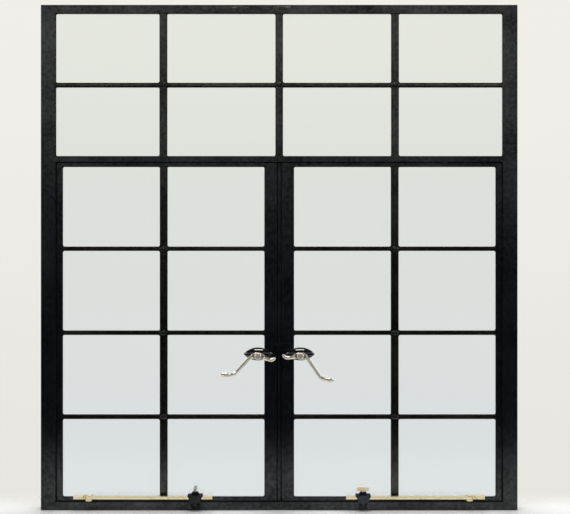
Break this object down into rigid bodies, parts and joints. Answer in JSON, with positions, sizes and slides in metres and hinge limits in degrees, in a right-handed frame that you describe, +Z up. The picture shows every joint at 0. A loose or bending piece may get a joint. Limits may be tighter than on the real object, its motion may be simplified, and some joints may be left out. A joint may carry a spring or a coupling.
{
  "type": "french window",
  "caption": "Black steel window frame with a pair of outward-opening glazed leaves under a fixed toplight, with lever handles and clamped sliding stays.",
  "frame": {"origin": "middle of the sill's underside, in the plane of the frame's room face", "axes": "+X to the right seen from the room, +Y to the outside, +Z up"},
  "size_m": [1, 0.0699, 1.06],
  "materials": {
    "black_paint": "satin black paint over rolled steel",
    "black_putty": "painted putty, smoothed to a bevel",
    "glass": "clear float glass",
    "gloss_black": "gloss black enamel",
    "bronze": "polished pale bronze",
    "brass": "polished brass"
  },
  "bodies": {
    "frame": {"left_jamb": "black_paint", "right_jamb": "black_paint", "head": "black_paint", "sill": "black_paint", "transom": "black_paint", "mullion": "black_paint", "toplight_bar_left": "black_paint", "toplight_bar_centre": "black_paint", "toplight_bar_right": "black_paint", "toplight_cross_bar": "black_paint", "toplight_panes": "glass", "toplight_putty": "black_putty", "left_hinge_frame_halves": "black_paint", "right_hinge_frame_halves": "black_paint", "hinge_pins": "black_paint", "striking_plate": "black_paint", "left_guide_foot": "black_paint", "right_guide_foot": "black_paint", "guide_foot_screws": "black_paint"},
    "left_leaf": {"left_hinge_stile": "black_paint", "left_meeting_stile": "black_paint", "left_top_rail": "black_paint", "left_bottom_rail": "black_paint", "left_glazing_bar": "black_paint", "left_lower_cross_bar": "black_paint", "left_middle_cross_bar": "black_paint", "left_upper_cross_bar": "black_paint", "left_panes": "glass", "left_putty": "black_putty", "left_hinge_straps": "black_paint", "left_handle_plate": "gloss_black", "left_plate_rivets": "black_paint", "left_handle_pivot": "bronze", "left_stay_bracket": "brass", "left_stay_rivet": "brass"},
    "left_handle": {"left_handle": "bronze"},
    "left_stay": {"left_stay_bar": "brass"},
    "left_guide": {"left_stay_guide": "black_paint"},
    "left_thumbscrew": {"left_thumbscrew": "brass"},
    "right_leaf": {"right_hinge_stile": "black_paint", "right_meeting_stile": "black_paint", "right_top_rail": "black_paint", "right_bottom_rail": "black_paint", "right_glazing_bar": "black_paint", "right_lower_cross_bar": "black_paint", "right_middle_cross_bar": "black_paint", "right_upper_cross_bar": "black_paint", "right_panes": "glass", "right_putty": "black_putty", "right_hinge_straps": "black_paint", "right_handle_plate": "gloss_black", "right_plate_rivets": "black_paint", "right_handle_pivot": "bronze", "right_stay_bracket": "brass", "right_stay_rivet": "brass"},
    "right_handle": {"right_handle": "bronze"},
    "right_stay": {"right_stay_bar": "brass"},
    "right_guide": {"right_stay_guide": "black_paint"},
    "right_thumbscrew": {"right_thumbscrew": "brass"}
  },
  "joints": [
    {"name": "left_leaf_swing", "type": "hinge", "parent": "frame", "child": "left_leaf", "pos_m": [-0.487, 0.04, 0.37], "axis": [0, 0, 1], "range_deg": [0, 45]},
    {"name": "left_handle_turn", "type": "hinge", "parent": "left_leaf", "child": "left_handle", "pos_m": [-0.0445, -0.006, 0.324], "axis": [0, -1, 0], "range_deg": [-20, 40]},
    {"name": "left_stay_swing", "type": "hinge", "parent": "left_leaf", "child": "left_stay", "pos_m": [-0.398, -0.006, 0.028], "axis": [0, 0, 1], "range_deg": [-65, 0]},
    {"name": "left_guide_swivel", "type": "hinge", "parent": "frame", "child": "left_guide", "pos_m": [-0.1755, -0.006, 0.028], "axis": [0, 0, 1], "range_deg": [-20, 0]},
    {"name": "left_thumbscrew_turn", "type": "hinge", "parent": "left_guide", "child": "left_thumbscrew", "pos_m": [-0.1755, -0.006, 0.04], "axis": [0, 0, 1], "range_deg": [0, 360]},
    {"name": "right_leaf_swing", "type": "hinge", "parent": "frame", "child": "right_leaf", "pos_m": [0.487, 0.04, 0.37], "axis": [0, 0, -1], "range_deg": [0, 45]},
    {"name": "right_handle_turn", "type": "hinge", "parent": "right_leaf", "child": "right_handle", "pos_m": [0.0445, -0.006, 0.324], "axis": [0, 1, 0], "range_deg": [-20, 40]},
    {"name": "right_stay_swing", "type": "hinge", "parent": "right_leaf", "child": "right_stay", "pos_m": [0.398, -0.006, 0.028], "axis": [0, 0, -1], "range_deg": [-65, 0]},
    {"name": "right_guide_swivel", "type": "hinge", "parent": "frame", "child": "right_guide", "pos_m": [0.1755, -0.006, 0.028], "axis": [0, 0, -1], "range_deg": [-20, 0]},
    {"name": "right_thumbscrew_turn", "type": "hinge", "parent": "right_guide", "child": "right_thumbscrew", "pos_m": [0.1755, -0.006, 0.04], "axis": [0, 0, 1], "range_deg": [0, 360]}
  ],
  "couplings": [
    {"joint": "left_stay_swing", "follows": "left_leaf_swing", "ratio": -1.439},
    {"joint": "left_guide_swivel", "follows": "left_leaf_swing", "ratio": -0.439},
    {"joint": "right_stay_swing", "follows": "right_leaf_swing", "ratio": -1.439},
    {"joint": "right_guide_swivel", "follows": "right_leaf_swing", "ratio": -0.439}
  ]
}
